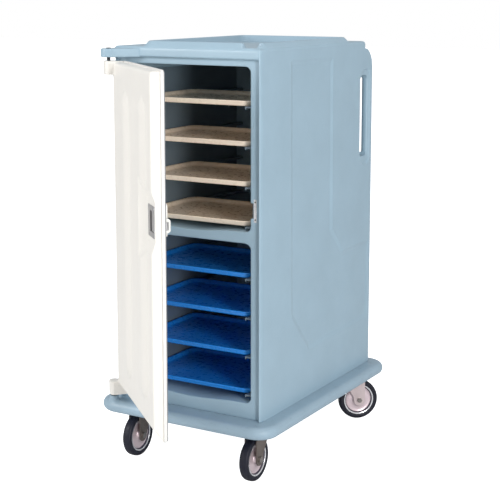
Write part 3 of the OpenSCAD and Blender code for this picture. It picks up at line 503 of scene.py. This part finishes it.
# A tray's section from its foot over the rim to the well, in mm: how far inside the
# tray's outline, and how high above its lowest point.
TRAY = [(16, 0.0), (10, 0.4), (6.8, 2.6), (5.0, 6.0), (3.2, 10.5), (1.2, 14.0), (0.3, 15.2),
        (0.0, 16.4), (0.5, 17.5), (1.6, 18.0), (6.2, 18.0), (8.4, 17.5), (9.8, 16.0), (11.4, 12.0),
        (13.0, 8.0), (14.6, 5.4), (17.2, 4.1), (21.0, 3.6), (30.0, 3.5)]
TRAY_CORNER_R, TRAY_CORNER_STEPS = 0.038, 14


def tray(node, look):
    """The meal tray of a level, its corners tighter towards the well."""
    lo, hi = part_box(node)
    bm = bmesh.new()
    rings = []
    for inset, h in TRAY:
        i = inset / 1000
        outline = rounded(lo.x + i, lo.y + i, hi.x - i, hi.y - i,
                          TRAY_CORNER_R - i / 2, TRAY_CORNER_STEPS)
        rings.append([bm.verts.new((x, y, lo.z + h / 1000)) for x, y in outline])
    n = len(rings[0])
    for a, b in zip(rings, rings[1:]):
        for k in range(n):
            bm.faces.new((a[k], a[(k + 1) % n], b[(k + 1) % n], b[k]))
    bm.faces.new(rings[0][::-1])
    bm.faces.new(rings[-1])
    bmesh.ops.recalc_face_normals(bm, faces=bm.faces)
    o = from_bmesh(node + "_piece", bm)
    shade(o, SWEPT_SHARP)
    stands_for(o, node, look, [node])


for level in range(1, 5):
    tray(f"tray_upper_{level}", "tray_cream")
    tray(f"tray_lower_{level}", "tray_blue")

# ---- Casters ----------------------------------------------------------------

RIM_R, RIM_HALF, BARREL_HALF = 0.058, 0.014, 0.0195
# Past the first radius the hub's rim gets a painted highlight; between the two radii its slanted
# step gets painted shade.
HIGHLIGHT_FROM, SHADOW_FROM = 0.0525, 0.0500


def mirrored(half):
    """A closed profile from the (radius, height) points of its lower half."""
    return half + [(r, -h) for r, h in reversed(half)]


HUB = mirrored([
    (0.0061, -BARREL_HALF), (0.0135, -BARREL_HALF), (0.0150, -BARREL_HALF + 0.0015),
    (0.0168, -0.0085), (0.0190, -0.0066), (0.0430, -0.0056), (0.0495, -0.0072),
    (0.0515, -0.0096), (0.0530, -RIM_HALF + 0.0012), (0.0545, -RIM_HALF), (RIM_R, -RIM_HALF)])
TYRE = mirrored([
    (RIM_R, -0.0140), (RIM_R + 0.0016, -0.0152), (RIM_R + 0.0050, -0.0159),
    (WHEEL_R - 0.0080, -0.0160), (WHEEL_R - 0.0048, -0.0153), (WHEEL_R - 0.0022, -0.0132),
    (WHEEL_R - 0.0008, -0.0100), (WHEEL_R, -0.0045)])


def ring_faces(hub, place):
    """A painted highlight on the rim and a ring of painted shade on the slanted step inside it,
    picked by distance from the axle.
    """
    hub.data.materials.append(LOOKS["hub_rim_painted_highlight"])
    hub.data.materials.append(LOOKS["hub_shadow"])
    to_axle = place.inverted()
    for p in hub.data.polygons:
        c = to_axle @ p.center
        r = math.hypot(c.x, c.y)
        if r > HIGHLIGHT_FROM:
            p.material_index = 1
        elif r > SHADOW_FROM:
            p.material_index = 2


for where, (x, y, turn) in CASTERS.items():
    place = (Matrix.Translation((x, y + FRONT, 0)) @ Matrix.Rotation(math.radians(turn), 4, "Z")
             @ Matrix.Translation((TRAIL, 0, WHEEL_R)) @ Matrix.Rotation(math.radians(90), 4, "X"))
    hub = lathe("hub_" + where + "_piece", HUB, place)
    stands_for(hub, "wheel_" + where, "hub_alloy", ["hub_" + where])
    ring_faces(hub, place)
    tyre = lathe("tyre_" + where + "_piece", TYRE, place)
    stands_for(tyre, "wheel_" + where, "tyre_black", ["tyre_" + where])
    # The rear right fork gets a lighter copy of the zinc, as painted light on that fork.
    fork_look = "caster_zinc_painted_light" if where == "rear_right" else "caster_zinc"
    soften("fork_" + where, "fork_" + where, fork_look, 0.0009)
    soften("axle_" + where, "fork_" + where, "axle_steel", 0.0006)

# ---- Stage, camera and light ------------------------------------------------

FLOOR_HALF = 30
CAMERA_AT = (2.2874, -3.7435, 1.6307)
CAMERA_DOWN, CAMERA_TURN = math.radians(8.696), math.radians(30.284)
AMBIENT = 0.55

# The floor is lit like any other, but the camera sees it as plain white.
floor_mesh = bpy.data.meshes.new("floor")
floor_mesh.from_pydata([(x * FLOOR_HALF, y * FLOOR_HALF, 0)
                        for x, y in ((-1, -1), (1, -1), (1, 1), (-1, 1))], [], [(0, 1, 2, 3)])
floor = new_object("floor", floor_mesh)
floor_look = Look("floor", specular=0.1)
floor_look.colour(floor_look.mix(floor_look.remap(floor_look.noise(3.0), 0.0, 1.0),
                                 (0.80, 0.80, 0.80, 1), (0.83, 0.83, 0.83, 1)))
floor_look.bsdf.inputs["Roughness"].default_value = 0.8
floor_look.bsdf.inputs["Emission Color"].default_value = (1, 1, 1, 1)
floor_look.link(floor_look.node("ShaderNodeLightPath").outputs["Is Camera Ray"],
                floor_look.bsdf.inputs["Emission Strength"])
floor.data.materials.append(floor_look.m)

camera_data = bpy.data.cameras.new("camera")
camera_data.sensor_width = 36
camera_data.lens = 91.478
camera_data.shift_y = -0.13
camera_data.clip_end = 100
camera = bpy.data.objects.new("camera", camera_data)
bpy.context.scene.collection.objects.link(camera)
camera.location = CAMERA_AT
camera.rotation_euler = (math.radians(90) - CAMERA_DOWN, 0, CAMERA_TURN)
bpy.context.scene.camera = camera

# Ambient light on the cart, and a white backdrop for the camera alone.
world = bpy.data.worlds.new("studio")
bpy.context.scene.world = world
world.use_nodes = True
wn = world.node_tree
ambient = wn.nodes["Background"]
ambient.inputs["Color"].default_value = (0.96, 0.98, 1, 1)
ambient.inputs["Strength"].default_value = AMBIENT
backdrop = wn.nodes.new("ShaderNodeBackground")
backdrop.inputs["Color"].default_value = (1, 1, 1, 1)
seen = wn.nodes.new("ShaderNodeLightPath")
either = wn.nodes.new("ShaderNodeMixShader")
wn.links.new(seen.outputs["Is Camera Ray"], either.inputs[0])
wn.links.new(ambient.outputs[0], either.inputs[1])
wn.links.new(backdrop.outputs[0], either.inputs[2])
wn.links.new(either.outputs[0], wn.nodes["World Output"].inputs["Surface"])
bpy.context.scene.view_settings.view_transform = "Standard"
bpy.context.scene.view_settings.look = "None"


def softbox(name, at, aim, size, power):
    """A rectangular light at `at`, turned towards `aim`; size is width and height."""
    data = bpy.data.lights.new(name, "AREA")
    data.shape = "RECTANGLE"
    data.size, data.size_y = size
    data.energy = power
    o = bpy.data.objects.new(name, data)
    bpy.context.scene.collection.objects.link(o)
    o.location = at
    o.rotation_euler = (Vector(aim) - Vector(at)).to_track_quat("-Z", "Y").to_euler()


softbox("key", at=(4.3, -3.1, 1.9), aim=(0, 0, 0.9), size=(0.9, 3.2), power=156)
softbox("front", at=(-2.6, -3.7, 2.4), aim=(0, -0.2, 0.8), size=(1.6, 2.0), power=90)
softbox("top", at=(0.4, -0.6, 4.6), aim=(0, 0, 0.8), size=(2.6, 2.6), power=30)
